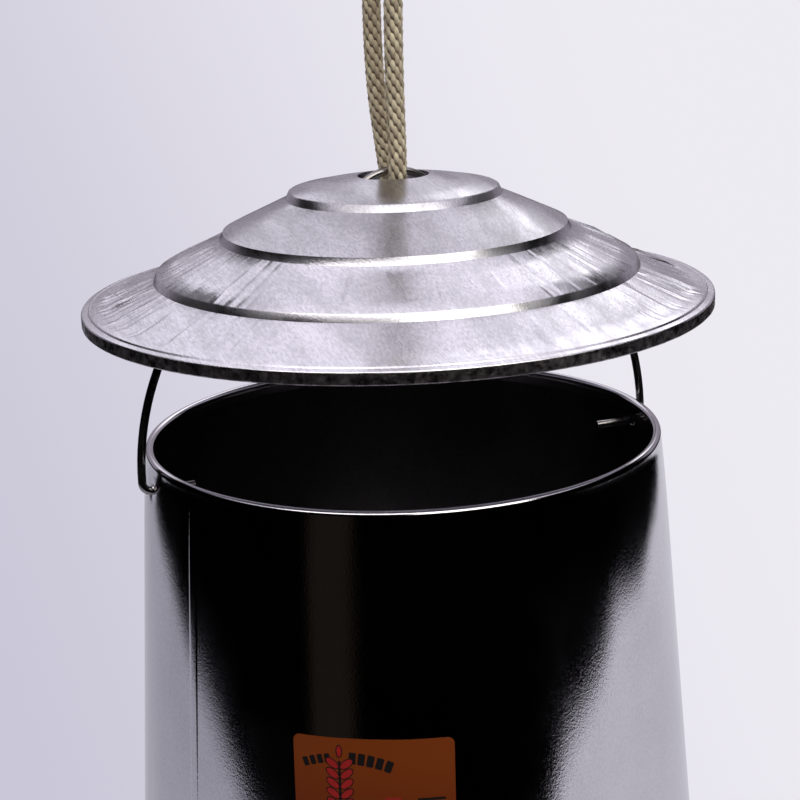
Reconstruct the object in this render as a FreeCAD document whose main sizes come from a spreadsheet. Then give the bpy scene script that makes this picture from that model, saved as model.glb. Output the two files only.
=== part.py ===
"""Hanging poultry feeder: a tapered hopper with a stepped cover, a wire bail, a rope sling
on a ceiling hook, and a feed pan that slides on three slotted brackets.

Frame: origin at the centre of the ceiling plate's top face, +Z up, X along the line through
the two bail ears. Millimetres.
"""

import FreeCAD, Part
import math
import os

import Sketcher

V = FreeCAD.Vector
UP = V(0, 0, 1)

SIZES = {
    # ceiling plate and hook
    "plate_radius": 33.0,
    "plate_sheet": 3.0,
    "plate_hole_radius": 2.6,
    "plate_hole_offset": 24.0,
    "hook_wire": 3.5,
    "hook_bend": 14.0,
    "hook_neck": 8.0,
    "hook_stem": 7.5,
    "hook_yaw": 30.0,
    "hook_tip_angle": 25.0,
    # rope sling and its knot
    "rope_radius": 4.75,
    "rope_drop": 165.0,
    "knot_radius": 13.0,
    "knot_length": 30.0,
    # bail, given by the radius of its wire
    "bail_wire": 2.05,
    "ear_gap": 1.8,
    "ear_depth": 14.0,
    "ear_bend": 4.5,
    "ear_clearance": 0.55,
    "stub_length": 22.0,
    "crown_rise": 5.0,
    "crown_bend": 26.0,
    "crown_fillet": 10.0,
    # cover
    "cover_radius": 155.6,
    "cover_sheet": 0.6,
    "cover_hole": 17.5,
    "cover_crown": 51.0,
    "crown_slope_rise": 5.9,
    "band_width": 31.6,
    "band_rise": 14.4,
    "skirt_rise": 9.9,
    "step_run": 1.7,
    "step_drop": 3.7,
    "brim_width": 12.5,
    "brim_rise": 1.9,
    "hem_height": 6.1,
    "seat_clearance": 0.6,
    # hopper
    "hopper_height": 318.0,
    "hopper_top": 131.0,
    "skirt_radius": 150.0,
    "skirt_height": 60.0,
    "hopper_sheet": 0.6,
    "rim_bead": 2.2,
    "rim_neck": 3.5,
    "rim_inset": 1.4,
    "seam_width": 7.0,
    "seam_proud": 0.9,
    "seam_angle": 201.0,
    # label on the hopper
    "label_width": 75.0,
    "label_height": 50.0,
    "label_drop": 105.5,
    "label_angle": 242.0,
    "label_sheet": 0.15,
    "label_gap": 0.03,
    # feed pan and cone
    "pan_radius": 209.5,
    "pan_depth": 57.0,
    "pan_sheet": 0.6,
    "pan_bead": 3.0,
    "pan_flare": 20.0,
    "foot_width": 16.0,
    "foot_height": 3.0,
    "cone_radius": 110.0,
    "cone_flange": 12.0,
    "cone_height": 56.0,
    "cone_tip": 9.0,
    "feed_gap": 25.0,
    # brackets, bolts, washers, wing nuts and rivets
    "bracket_width": 22.0,
    "bracket_sheet": 1.6,
    "bracket_foot": 26.0,
    "bracket_margin": 8.0,
    "bracket_first_angle": 90.0,
    "pan_travel": 12.0,
    "bolt_radius": 3.0,
    "bolt_lift": 26.0,
    "bolt_hole_clearance": 0.3,
    "bolt_head_radius": 6.5,
    "bolt_head_height": 3.4,
    "bolt_tail": 5.0,
    "slide_clearance": 0.3,
    "thread_clearance": 0.05,
    "washer_radius": 8.0,
    "washer_sheet": 1.2,
    "nut_radius": 5.5,
    "nut_height": 8.0,
    "nut_wing_span": 14.0,
    "nut_wing_sheet": 2.0,
    "nut_wing_rise": 4.5,
    "rivet_radius": 2.0,
    "rivet_head_radius": 4.0,
    "rivet_head_height": 1.3,
    "rivet_clearance": 0.05,
}
BRACKETS = 3
CONE_RIVETS = 4
CONE_FIRST_RIVET = 45  # degrees from +X
BRACKET_RIVETS = (0.3, 0.75)  # places along a bracket's foot, as shares of its length
# how far a sheet's inner line stands inwards of its outer line, as a share of its thickness
COVER_SLOPE_INSET = 0.25
PAN_WALL_INSET = 0.7
PAN_FOOT_INSET = 0.3

# The rope's route as points, from the knot's foot down the back strand, under the bail's
# crown, up the front strand, over the hook's saddle and down into the knot's head.
ROPE_ROUTE = [
    (-2.3, 12.8, -103.0),
    (0.0, 7.1, -212.9),
    (0.0, 2.9, -217.1),
    (0.0, -2.9, -217.1),
    (0.0, -7.1, -212.9),
    (4.3, -7.4, -41.5),
    (1.8, -3.0, -36.5),
    (-1.8, 3.0, -36.5),
    (-4.3, 7.4, -41.5),
    (-2.6, 12.4, -63.0),
    (-2.3, 12.8, -73.0),
]

doc = FreeCAD.newDocument("hanging_feeder")
sheet = doc.addObject("Spreadsheet::Sheet", "sizes")
for row, (alias, number) in enumerate(SIZES.items(), start=1):
    sheet.set(f"A{row}", alias)
    sheet.set(f"B{row}", str(number))
    sheet.setAlias(f"B{row}", alias)
doc.recompute()


class Size:
    """A number from the sheet together with the formula that gives it."""

    def __init__(self, value, formula):
        self.value = value
        self.formula = formula

    def _join(self, other, sign, value):
        return Size(value, f"({self.formula} {sign} {as_size(other).formula})")

    def __add__(self, other):
        return self._join(other, "+", self.value + as_size(other).value)

    def __sub__(self, other):
        return self._join(other, "-", self.value - as_size(other).value)

    def __mul__(self, other):
        return self._join(other, "*", self.value * as_size(other).value)

    def __truediv__(self, other):
        return self._join(other, "/", self.value / as_size(other).value)

    def __neg__(self):
        return Size(-self.value, f"(0 - {self.formula})")

    def root(self):
        return Size(math.sqrt(self.value), f"sqrt({self.formula})")


def as_size(number):
    return number if isinstance(number, Size) else Size(float(number), repr(float(number)))


def size(alias):
    return Size(float(getattr(sheet, alias)), f"sizes.{alias}")


# ---- heights and radii that several pieces share, from the ceiling downwards
hook_centre = -(size("plate_sheet") + size("hook_stem")) - (
    (size("hook_bend") + size("hook_neck")) * (size("hook_bend") + size("hook_neck"))
    - size("hook_neck") * size("hook_neck")
).root()
saddle_z = hook_centre - size("hook_bend")
crown_z = saddle_z - size("rope_drop")
rim_height = size("rim_bead") + size("rim_neck")
hopper_slope = (size("skirt_radius") - size("hopper_top")) / (
    size("hopper_height") - size("skirt_height") - rim_height
)
ear_wall = size("hopper_top") + hopper_slope * (size("ear_depth") - rim_height)
hoop_radius = ear_wall + size("ear_gap") + size("bail_wire")
ear_z = crown_z - size("crown_rise") - hoop_radius - size("ear_bend")
rim_z = ear_z + size("ear_depth")
hopper_z = rim_z - size("hopper_height")
floor_z = hopper_z - size("feed_gap")
pan_z = floor_z - size("foot_height") - size("pan_sheet")
crown_reach = size("crown_bend") + size("bail_wire") + size("seat_clearance")
cover_seat_z = (
    crown_z
    - size("crown_bend")
    + (crown_reach * crown_reach - size("cover_hole") * size("cover_hole")).root()
)
cover_height = (
    size("hem_height")
    + size("brim_rise")
    + size("skirt_rise")
    + size("band_rise") * 2
    + size("step_drop") * 3
    + size("crown_slope_rise")
)
cover_z = cover_seat_z + size("cover_sheet") - cover_height
bolt_z = hopper_z + size("bolt_lift")
bracket_face = size("skirt_radius") + size("slide_clearance")
washer_face = bracket_face + size("bracket_sheet") + size("slide_clearance")
nut_face = washer_face + size("washer_sheet") + size("slide_clearance")
bolt_end = nut_face + size("nut_height") + size("bolt_tail")


# ---- helpers
def place(thing, z, turn=0.0):
    """Sets a piece at a height from the sheet, turned about Z by a fixed angle."""
    thing.Placement = FreeCAD.Placement(V(0, 0, z.value), FreeCAD.Rotation(UP, turn))
    thing.setExpression("Placement.Base.z", z.formula)


def bind(thing, **sizes):
    """Binds named properties of a primitive to sizes from the sheet."""
    for prop, amount in sizes.items():
        setattr(thing, prop, amount.value)
        thing.setExpression(prop, amount.formula)
    return thing


def origin_plane(body, role):
    return next(f for f in body.Origin.OriginFeatures if f.Role == role)


def outline_sketch(body, name, plane, points):
    """A closed outline whose corners are each held by two sizes from the plane's origin."""
    sketch = body.newObject("Sketcher::SketchObject", name)
    sketch.AttachmentSupport = [(origin_plane(body, plane), "")]
    sketch.MapMode = "FlatFace"
    corners = [V(across.value, along.value, 0) for across, along in points]
    for i, start in enumerate(corners):
        sketch.addGeometry(Part.LineSegment(start, corners[(i + 1) % len(corners)]), False)
    for i in range(len(corners)):
        previous = (i - 1) % len(corners)
        sketch.addConstraint(Sketcher.Constraint("Coincident", previous, 2, i, 1))
    for i, (across, along) in enumerate(points):
        for kind, amount in (("DistanceX", across), ("DistanceY", along)):
            if amount.formula == "0.0":
                axis = -2 if kind == "DistanceX" else -1
                sketch.addConstraint(Sketcher.Constraint("PointOnObject", i, 1, axis))
                continue
            added = sketch.addConstraint(
                Sketcher.Constraint(kind, -1, 1, i, 1, amount.value)
            )
            sketch.setExpression(f"Constraints[{added}]", amount.formula)
    return sketch


def circle_sketch(body, name, plane, radius, across, along):
    sketch = body.newObject("Sketcher::SketchObject", name)
    sketch.AttachmentSupport = [(origin_plane(body, plane), "")]
    sketch.MapMode = "FlatFace"
    centre = V(across.value, along.value, 0)
    sketch.addGeometry(Part.Circle(centre, V(0, 0, 1), radius.value), False)
    added = sketch.addConstraint(Sketcher.Constraint("Radius", 0, radius.value))
    sketch.setExpression(f"Constraints[{added}]", radius.formula)
    for kind, amount in (("DistanceX", across), ("DistanceY", along)):
        if amount.formula == "0.0":
            axis = -2 if kind == "DistanceX" else -1
            sketch.addConstraint(Sketcher.Constraint("PointOnObject", 0, 3, axis))
            continue
        added = sketch.addConstraint(
            Sketcher.Constraint(kind, -1, 1, 0, 3, amount.value)
        )
        sketch.setExpression(f"Constraints[{added}]", amount.formula)
    return sketch


def turned_body(name, outline):
    """A body turned about its own Z axis from an outline of (radius, height) sizes."""
    body = doc.addObject("PartDesign::Body", name)
    sketch = outline_sketch(body, name + "_outline", "XZ_Plane", outline)
    turn = body.newObject("PartDesign::Revolution", name + "_turn")
    turn.Profile = sketch
    turn.ReferenceAxis = (sketch, ["V_Axis"])
    turn.Angle = 360
    sketch.Visibility = False
    return body


def padded_body(name, outline, plane, thickness):
    """A body padded to both sides of one of its own planes."""
    body = doc.addObject("PartDesign::Body", name)
    sketch = outline_sketch(body, name + "_outline", plane, outline)
    pad = body.newObject("PartDesign::Pad", name + "_pad")
    pad.Profile = sketch
    pad.Midplane = True
    bind(pad, Length=thickness)
    return body


def pocket_through(body, sketch, name):
    pocket = body.newObject("PartDesign::Pocket", name)
    pocket.Profile = sketch
    pocket.Type = 1
    pocket.Midplane = True
    return pocket


def joined(name, kind, *pieces):
    """One boolean of several pieces: a fuse, or the first piece cut by the others."""
    if kind == "fuse":
        result = doc.addObject("Part::MultiFuse", name)
        result.Shapes = list(pieces)
        return result
    tools = pieces[1]
    if len(pieces) > 2:
        tools = doc.addObject("Part::MultiFuse", name + "_tools")
        tools.Shapes = list(pieces[1:])
    result = doc.addObject("Part::Cut", name)
    result.Base = pieces[0]
    result.Tool = tools
    return result


def radial_cylinder(name, radius, start, end, height, angle):
    """A cylinder along a radius of the feeder, from one radius to another."""
    rod = doc.addObject("Part::Cylinder", name)
    bind(rod, Radius=radius, Height=end - start)
    direction = V(math.cos(math.radians(angle)), math.sin(math.radians(angle)), 0)
    rod.Placement = FreeCAD.Placement(V(0, 0, 0), FreeCAD.Rotation(UP, direction))
    for axis, share in (("x", direction.x), ("y", direction.y)):
        rod.setExpression(f"Placement.Base.{axis}", (start * share).formula)
    rod.setExpression("Placement.Base.z", height.formula)
    return rod


def wire_sweep(name, path, radius, start, heading):
    """A round wire swept along a path of lines and arcs."""
    circle = Part.Wire([Part.makeCircle(radius, start, heading)])
    feature = doc.addObject("Part::Feature", name)
    feature.Shape = path.makePipeShell([circle], True, False)
    return feature


def arc_through(centre, radius, first, middle, last):
    """An arc in the XZ plane, by the three angles in degrees that it passes."""
    points = [
        centre + V(math.cos(math.radians(a)), 0, math.sin(math.radians(a))) * radius
        for a in (first, middle, last)
    ]
    return Part.Arc(*points).toShape()


def line(start, end):
    return Part.LineSegment(start, end).toShape()


# ---- ceiling plate and hook
def make_ceiling_plate():
    plate = bind(
        doc.addObject("Part::Cylinder", "plate_disc"),
        Radius=size("plate_radius"),
        Height=size("plate_sheet"),
    )
    plate.setExpression("Placement.Base.z", (-size("plate_sheet")).formula)
    drills = []
    for side in (-1, 1):
        drill = bind(
            doc.addObject("Part::Cylinder", f"plate_drill_{side + 2}"),
            Radius=size("plate_hole_radius"),
            Height=size("plate_sheet") * 3,
        )
        drill.setExpression("Placement.Base.x", (size("plate_hole_offset") * side).formula)
        drill.setExpression("Placement.Base.z", (-size("plate_sheet") * 2).formula)
        drills.append(drill)
    return joined("ceiling_plate", "cut", plate, *drills)


def make_ceiling_hook():
    centre = V(0, 0, hook_centre.value)
    bend = size("hook_bend").value
    neck = size("hook_neck").value
    top = -size("plate_sheet").value
    neck_z = top - size("hook_stem").value
    neck_centre = V(-neck, 0, neck_z)
    meet = math.degrees(math.atan2(neck_z - centre.z, -neck))
    tip = 360 + size("hook_tip_angle").value
    path = Part.Wire(
        [
            line(V(0, 0, top), V(0, 0, neck_z)),
            arc_through(neck_centre, neck, 0, (meet - 180) / 2, meet - 180),
            arc_through(centre, bend, meet, (meet + tip) / 2, tip),
        ]
    )
    hook = wire_sweep(
        "ceiling_hook", path, size("hook_wire").value, V(0, 0, top), V(0, 0, -1)
    )
    hook.Placement = FreeCAD.Placement(
        V(0, 0, 0), FreeCAD.Rotation(UP, size("hook_yaw").value)
    )
    return hook


# ---- rope sling and knot
def rounded_path(points):
    """Straight runs joined by tangent arcs, each as large as its two runs allow."""
    points = [V(*p) for p in points]
    edges = []
    last = points[0]
    for before, corner, after in zip(points, points[1:], points[2:]):
        back = before - corner
        ahead = after - corner
        run = 0.45 * min(back.Length, ahead.Length)
        turn = math.pi - back.getAngle(ahead)
        radius = run / math.tan(turn / 2)
        back.normalize()
        ahead.normalize()
        inward = back + ahead
        inward.normalize()
        reach = radius / math.cos(turn / 2) - radius
        first = corner + back * run
        middle = corner + inward * reach
        end = corner + ahead * run
        print(f"rope bend: turn {math.degrees(turn):.1f} degrees, radius {radius:.1f} mm")
        edges.append(line(last, first))
        edges.append(Part.Arc(first, middle, end).toShape())
        last = end
    edges.append(line(last, points[-1]))
    return Part.Wire(edges)


def make_rope():
    path = rounded_path(ROPE_ROUTE)
    start = V(*ROPE_ROUTE[0])
    heading = V(*ROPE_ROUTE[1]) - start
    radius = size("rope_radius").value
    rope = wire_sweep("rope_sling", path, radius, start, heading)
    expected = math.pi * radius**2 * path.Length
    print(f"rope length {path.Length:.1f} mm, volume {rope.Shape.Volume / expected:.4f} of expected")
    if abs(rope.Shape.Volume / expected - 1) > 0.01:
        raise RuntimeError("the rope's volume is not its section times its length")
    return rope


def make_knot():
    knot = bind(
        doc.addObject("Part::Cylinder", "rope_knot"),
        Radius=size("knot_radius"),
        Height=size("knot_length"),
    )
    knot.Placement = FreeCAD.Placement(V(*ROPE_ROUTE[0]), FreeCAD.Rotation())
    return knot


# ---- bail
def make_bail():
    """Half of the path runs from the middle of the crown to an ear; the other half mirrors it."""
    wire = size("bail_wire").value
    hoop = hoop_radius.value
    crown = size("crown_bend").value
    fillet = size("crown_fillet").value
    ear_bend = size("ear_bend").value
    hoop_centre = V(0, 0, ear_z.value + ear_bend)
    crown_centre = V(0, 0, crown_z.value - crown)
    apart = crown_centre.z - hoop_centre.z
    rise = (apart**2 + (hoop + fillet) ** 2 - (crown + fillet) ** 2) / (2 * apart)
    reach = math.sqrt((hoop + fillet) ** 2 - rise**2)
    fillet_centre = hoop_centre + V(reach, 0, rise)
    hoop_angle = math.degrees(math.atan2(rise, reach))
    crown_angle = math.degrees(math.atan2(rise - apart, reach))
    corner = V(hoop, 0, ear_z.value)
    stub_end = V(ear_wall.value - size("stub_length").value, 0, corner.z)
    bend_centre = corner + V(-ear_bend, 0, ear_bend)
    right = [
        arc_through(crown_centre, crown, 90, (90 + crown_angle) / 2, crown_angle),
        arc_through(
            fillet_centre,
            fillet,
            crown_angle + 180,
            (crown_angle + hoop_angle) / 2 + 180,
            hoop_angle + 180,
        ),
        arc_through(hoop_centre, hoop, hoop_angle, hoop_angle / 2, 0),
        arc_through(bend_centre, ear_bend, 0, -45, -90),
        line(corner - V(ear_bend, 0, 0), stub_end),
    ]
    start = V(0, 0, crown_z.value)
    half = Part.Wire(right).makePipeShell(
        [Part.Wire([Part.makeCircle(wire, start, V(1, 0, 0))])], True, False
    )
    other = half.mirror(V(0, 0, 0), V(1, 0, 0))
    bail = doc.addObject("Part::Feature", "bail")
    bail.Shape = half.fuse(other).removeSplitter()
    return bail


# ---- cover
def cover_surface():
    """The cover's outer line from its hole to its brim, as (radius, height over the hem)."""
    run = size("step_run")
    drop = size("step_drop")
    band = size("band_width")
    radius = size("cover_crown")
    height = cover_height - size("crown_slope_rise")
    points = [(size("cover_hole"), cover_height), (radius, height)]
    for rise in (size("band_rise"), size("band_rise")):
        radius = radius + run
        height = height - drop
        points.append((radius, height))
        radius = radius + band
        height = height - rise
        points.append((radius, height))
    radius = radius + run
    height = height - drop
    points.append((radius, height))
    height = height - size("skirt_rise")
    points.append((size("cover_radius") - size("brim_width"), height))
    points.append((size("cover_radius"), size("hem_height")))
    return points


def make_cover():
    skin = size("cover_sheet")
    outer = cover_surface()
    inner = []
    for i, (radius, height) in enumerate(outer):
        shift = skin * COVER_SLOPE_INSET
        if i == 0:
            shift = as_size(0)
        elif i == len(outer) - 1:
            shift = skin
        inner.append((radius - shift, height - skin))
    hem = [(size("cover_radius"), as_size(0)), (size("cover_radius") - skin, as_size(0))]
    cover = turned_body("cover", outer + hem + inner[::-1])
    place(cover, cover_z)
    return cover


# ---- hopper
def make_hopper_shell():
    wall = size("hopper_sheet")
    bead = size("rim_bead")
    bead_height = size("hopper_height") - bead
    neck_height = size("hopper_height") - rim_height
    rim_radius = size("hopper_top") - size("rim_inset")
    shell = turned_body(
        "hopper_shell",
        [
            (size("skirt_radius"), as_size(0)),
            (size("skirt_radius"), size("skirt_height")),
            (size("hopper_top"), neck_height),
            (rim_radius, bead_height),
            (rim_radius - wall, bead_height),
            (size("hopper_top") - wall, neck_height),
            (size("skirt_radius") - wall, size("skirt_height")),
            (size("skirt_radius") - wall, as_size(0)),
        ],
    )
    place(shell, hopper_z)
    ring = bind(
        doc.addObject("Part::Torus", "hopper_bead"),
        Radius1=rim_radius - bead,
        Radius2=bead,
    )
    place(ring, hopper_z + bead_height)
    return shell, ring


def cone_strip(start_height, end_height, inside, outside, width):
    """A strip of the tapered wall: its skin from inside to outside of the wall's line."""
    slope = hopper_slope.value
    foot = size("skirt_radius").value
    knee = size("skirt_height").value

    def at(height):
        return foot - slope * max(0.0, height - knee)

    heights = [start_height] + [knee] * (start_height < knee < end_height) + [end_height]
    low = [V(at(h) + inside, 0, h) for h in heights]
    high = [V(at(h) + outside, 0, h) for h in reversed(heights)]
    face = Part.Face(Part.makePolygon(low + high + [low[0]]))
    angle = math.degrees(width / at((start_height + end_height) / 2))
    face.rotate(V(0, 0, 0), UP, -angle / 2)
    return face.revolve(V(0, 0, 0), UP, angle)


def make_hopper():
    shell, ring = make_hopper_shell()
    seam = doc.addObject("Part::Feature", "hopper_seam")
    seam.Shape = cone_strip(
        0,
        size("hopper_height").value - size("ear_depth").value,
        -size("hopper_sheet").value / 2,
        size("seam_proud").value,
        size("seam_width").value,
    )
    seam.Placement = FreeCAD.Placement(
        V(0, 0, hopper_z.value), FreeCAD.Rotation(UP, size("seam_angle").value)
    )
    blank = joined("hopper_blank", "fuse", shell, ring, seam)
    reach = size("skirt_radius") + size("bolt_radius")
    drills = [
        radial_cylinder(
            f"bolt_drill_{i + 1}",
            size("bolt_radius") + size("bolt_hole_clearance"),
            as_size(20),
            reach,
            bolt_z,
            bracket_angle(i),
        )
        for i in range(BRACKETS)
    ]
    ears = radial_cylinder(
        "ear_drill",
        size("bail_wire") + size("ear_clearance"),
        -reach,
        reach,
        ear_z,
        0,
    )
    return joined("hopper_tube", "cut", blank, ears, *drills)


def make_label():
    label = doc.addObject("Part::Feature", "front_label")
    top = size("hopper_height").value - size("label_drop").value
    gap = size("label_gap").value
    label.Shape = cone_strip(
        top - size("label_height").value,
        top,
        gap,
        gap + size("label_sheet").value,
        size("label_width").value,
    )
    label.Placement = FreeCAD.Placement(
        V(0, 0, hopper_z.value), FreeCAD.Rotation(UP, size("label_angle").value)
    )
    return label


# ---- feed pan and cone
def make_pan():
    skin = size("pan_sheet")
    lift = size("foot_height")
    rim = size("pan_radius") - size("pan_bead")
    top = size("pan_depth") - size("pan_bead")
    toe = rim - size("pan_flare")
    heel = toe - size("foot_width")
    zero = as_size(0)
    pan = turned_body(
        "pan_dish",
        [
            (zero, lift),
            (heel - lift, lift),
            (heel, zero),
            (toe, zero),
            (rim, top),
            (rim - skin, top),
            (toe - skin * PAN_WALL_INSET, skin),
            (heel + skin * PAN_FOOT_INSET, skin),
            (heel - lift + skin * PAN_FOOT_INSET, lift + skin),
            (zero, lift + skin),
        ],
    )
    place(pan, pan_z)
    ring = bind(
        doc.addObject("Part::Torus", "pan_bead_ring"),
        Radius1=rim,
        Radius2=size("pan_bead"),
    )
    place(ring, pan_z + top)
    drills = [
        rivet_rod(f"pan_drill_{i + 1}", x, y, size("rivet_radius") + size("rivet_clearance"))
        for i, (x, y) in enumerate(bracket_rivet_places() + cone_rivet_places())
    ]
    blank = joined("pan_blank", "fuse", pan, ring)
    return joined("feed_pan", "cut", blank, *drills)


def make_cone():
    skin = size("pan_sheet")
    zero = as_size(0)
    brow = size("cone_radius") - size("cone_flange")
    height = size("cone_height")
    cone = turned_body(
        "cone_hat",
        [
            (brow - skin, zero),
            (size("cone_radius"), zero),
            (size("cone_radius"), skin),
            (brow, skin),
            (size("cone_tip"), height - skin * 2),
            (size("cone_tip") - skin * 2, height),
            (zero, height),
            (zero, height - skin),
            (size("cone_tip") - skin * 2, height - skin),
        ],
    )
    place(cone, floor_z)
    drills = [
        rivet_rod(f"cone_drill_{i + 1}", x, y, size("rivet_radius") + size("rivet_clearance"))
        for i, (x, y) in enumerate(cone_rivet_places())
    ]
    return joined("feed_cone", "cut", cone, *drills)


# ---- brackets and their fasteners
def bracket_angle(i):
    return size("bracket_first_angle").value + 360 / BRACKETS * i


def turned_place(radius, angle):
    """A point at a radius and an angle, as two sizes."""
    return (
        radius * math.cos(math.radians(angle)),
        radius * math.sin(math.radians(angle)),
    )


def bracket_rivet_places():
    places = []
    for i in range(BRACKETS):
        for share in BRACKET_RIVETS:
            radius = bracket_face - size("bracket_foot") * share
            places.append(turned_place(radius, bracket_angle(i)))
    return places


def cone_rivet_places():
    radius = size("cone_radius") - size("cone_flange") / 2
    step = 360 / CONE_RIVETS
    return [turned_place(radius, CONE_FIRST_RIVET + step * i) for i in range(CONE_RIVETS)]


def rivet_rod(name, x, y, radius):
    """A vertical rod through the pan's floor at a rivet's place."""
    rod = bind(
        doc.addObject("Part::Cylinder", name), Radius=radius, Height=size("bracket_sheet") * 6
    )
    rod.setExpression("Placement.Base.x", x.formula)
    rod.setExpression("Placement.Base.y", y.formula)
    rod.setExpression("Placement.Base.z", (floor_z - size("bracket_sheet") * 3).formula)
    return rod


def make_rivets(name, places, grip):
    """Rivets with a domed head above the sheets that they grip and a flat one below."""
    rivets = []
    for i, (x, y) in enumerate(places):
        shank = bind(
            doc.addObject("Part::Cylinder", f"{name}_shank_{i + 1}"),
            Radius=size("rivet_radius"),
            Height=grip + size("pan_sheet") + size("rivet_head_height"),
        )
        foot = bind(
            doc.addObject("Part::Cylinder", f"{name}_foot_{i + 1}"),
            Radius=size("rivet_head_radius"),
            Height=size("rivet_head_height"),
        )
        head = bind(
            doc.addObject("Part::Cone", f"{name}_head_{i + 1}"),
            Radius1=size("rivet_head_radius"),
            Radius2=size("rivet_head_radius") / 2,
            Height=size("rivet_head_height"),
        )
        below = floor_z - size("pan_sheet") - size("rivet_head_height")
        for piece, z in ((shank, below), (foot, below), (head, floor_z + grip)):
            piece.setExpression("Placement.Base.x", x.formula)
            piece.setExpression("Placement.Base.y", y.formula)
            piece.setExpression("Placement.Base.z", z.formula)
        rivets.append(joined(f"{name}_{i + 1}", "fuse", shank, foot, head))
    group = doc.addObject("Part::Compound", name)
    group.Links = rivets
    return group


def make_bracket(i):
    """An upright strap with a slot for the bolt, and a foot turned in under the hopper."""
    sheet_metal = size("bracket_sheet")
    slot_middle = size("feed_gap") + size("bolt_lift")
    slot_half = size("pan_travel") + size("bolt_radius") + size("slide_clearance")
    top = slot_middle + slot_half + size("bracket_margin")
    inner = bracket_face
    outer = bracket_face + sheet_metal
    zero = as_size(0)
    body = padded_body(
        f"bracket_strap_{i + 1}",
        [
            (inner - size("bracket_foot"), zero),
            (outer, zero),
            (outer, top),
            (inner, top),
            (inner, sheet_metal),
            (inner - size("bracket_foot"), sheet_metal),
        ],
        "XZ_Plane",
        size("bracket_width"),
    )
    slot_width = size("bolt_radius") + size("slide_clearance")
    sketch = outline_sketch(
        body,
        f"bracket_slot_{i + 1}",
        "YZ_Plane",
        [
            (-slot_width, slot_middle - slot_half),
            (slot_width, slot_middle - slot_half),
            (slot_width, slot_middle + slot_half),
            (-slot_width, slot_middle + slot_half),
        ],
    )
    pocket_through(body, sketch, f"bracket_cut_{i + 1}")
    place(body, floor_z, bracket_angle(i))
    drills = [
        rivet_rod(
            f"bracket_drill_{i + 1}_{n + 1}", x, y, size("rivet_radius") + size("rivet_clearance")
        )
        for n, (x, y) in enumerate(bracket_rivet_places()[2 * i : 2 * i + 2])
    ]
    return joined(f"hanger_bracket_{i + 1}", "cut", body, *drills)


def make_bolt(i):
    """A round-headed bolt through the skirt, its head inside the hopper."""
    angle = bracket_angle(i)
    seat = size("skirt_radius") - size("hopper_sheet") - size("slide_clearance")
    shank = radial_cylinder(
        f"bolt_shank_{i + 1}", size("bolt_radius"), seat, bolt_end, bolt_z, angle
    )
    head = doc.addObject("Part::Cone", f"bolt_head_{i + 1}")
    bind(
        head,
        Radius1=size("bolt_head_radius"),
        Radius2=size("bolt_head_radius") * 0.45,
        Height=size("bolt_head_height"),
    )
    direction = V(math.cos(math.radians(angle)), math.sin(math.radians(angle)), 0)
    head.Placement = FreeCAD.Placement(V(0, 0, 0), FreeCAD.Rotation(UP, direction * -1))
    for axis, share in (("x", direction.x), ("y", direction.y)):
        head.setExpression(f"Placement.Base.{axis}", (seat * share).formula)
    head.setExpression("Placement.Base.z", bolt_z.formula)
    return joined(f"carriage_bolt_{i + 1}", "fuse", shank, head)


def make_washer(i):
    angle = bracket_angle(i)
    disc = radial_cylinder(
        f"washer_disc_{i + 1}",
        size("washer_radius"),
        washer_face,
        washer_face + size("washer_sheet"),
        bolt_z,
        angle,
    )
    hole = radial_cylinder(
        f"washer_hole_{i + 1}",
        size("bolt_radius") + size("bolt_hole_clearance"),
        washer_face - size("washer_sheet"),
        washer_face + size("washer_sheet") * 2,
        bolt_z,
        angle,
    )
    return joined(f"bolt_washer_{i + 1}", "cut", disc, hole)


def make_wing_nut(i):
    """A hub and two wings, modelled along its own Z and then laid along the bolt."""
    zero = as_size(0)
    hub = size("nut_radius")
    height = size("nut_height")
    span = size("nut_wing_span")
    rise = size("nut_wing_rise")
    body = turned_body(
        f"nut_hub_{i + 1}",
        [(zero, zero), (hub, zero), (hub * 0.8, height), (zero, height)],
    )
    tip = height + rise
    sketch = outline_sketch(
        body,
        f"nut_wings_{i + 1}",
        "XZ_Plane",
        [
            (-hub * 0.7, height * 0.2),
            (hub * 0.7, height * 0.2),
            (span * 0.75, height * 0.35),
            (span, height * 0.75),
            (span, tip - hub * 0.3),
            (span * 0.85, tip),
            (span * 0.6, tip - hub * 0.2),
            (hub * 0.6, height * 0.85),
            (-hub * 0.6, height * 0.85),
            (-span * 0.6, tip - hub * 0.2),
            (-span * 0.85, tip),
            (-span, tip - hub * 0.3),
            (-span, height * 0.75),
            (-span * 0.75, height * 0.35),
        ],
    )
    wings = body.newObject("PartDesign::Pad", f"nut_wing_pad_{i + 1}")
    wings.Profile = sketch
    wings.Midplane = True
    bind(wings, Length=size("nut_wing_sheet"))
    bore = circle_sketch(
        body,
        f"nut_bore_{i + 1}",
        "XY_Plane",
        size("bolt_radius") + size("thread_clearance"),
        zero,
        zero,
    )
    pocket_through(body, bore, f"nut_bore_cut_{i + 1}")
    angle = bracket_angle(i)
    direction = V(math.cos(math.radians(angle)), math.sin(math.radians(angle)), 0)
    upright = FreeCAD.Rotation(direction.cross(UP), UP, direction, "ZXY")
    body.Placement = FreeCAD.Placement(V(0, 0, 0), upright)
    for axis, share in (("x", direction.x), ("y", direction.y)):
        body.setExpression(f"Placement.Base.{axis}", (nut_face * share).formula)
    body.setExpression("Placement.Base.z", bolt_z.formula)
    return body


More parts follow.
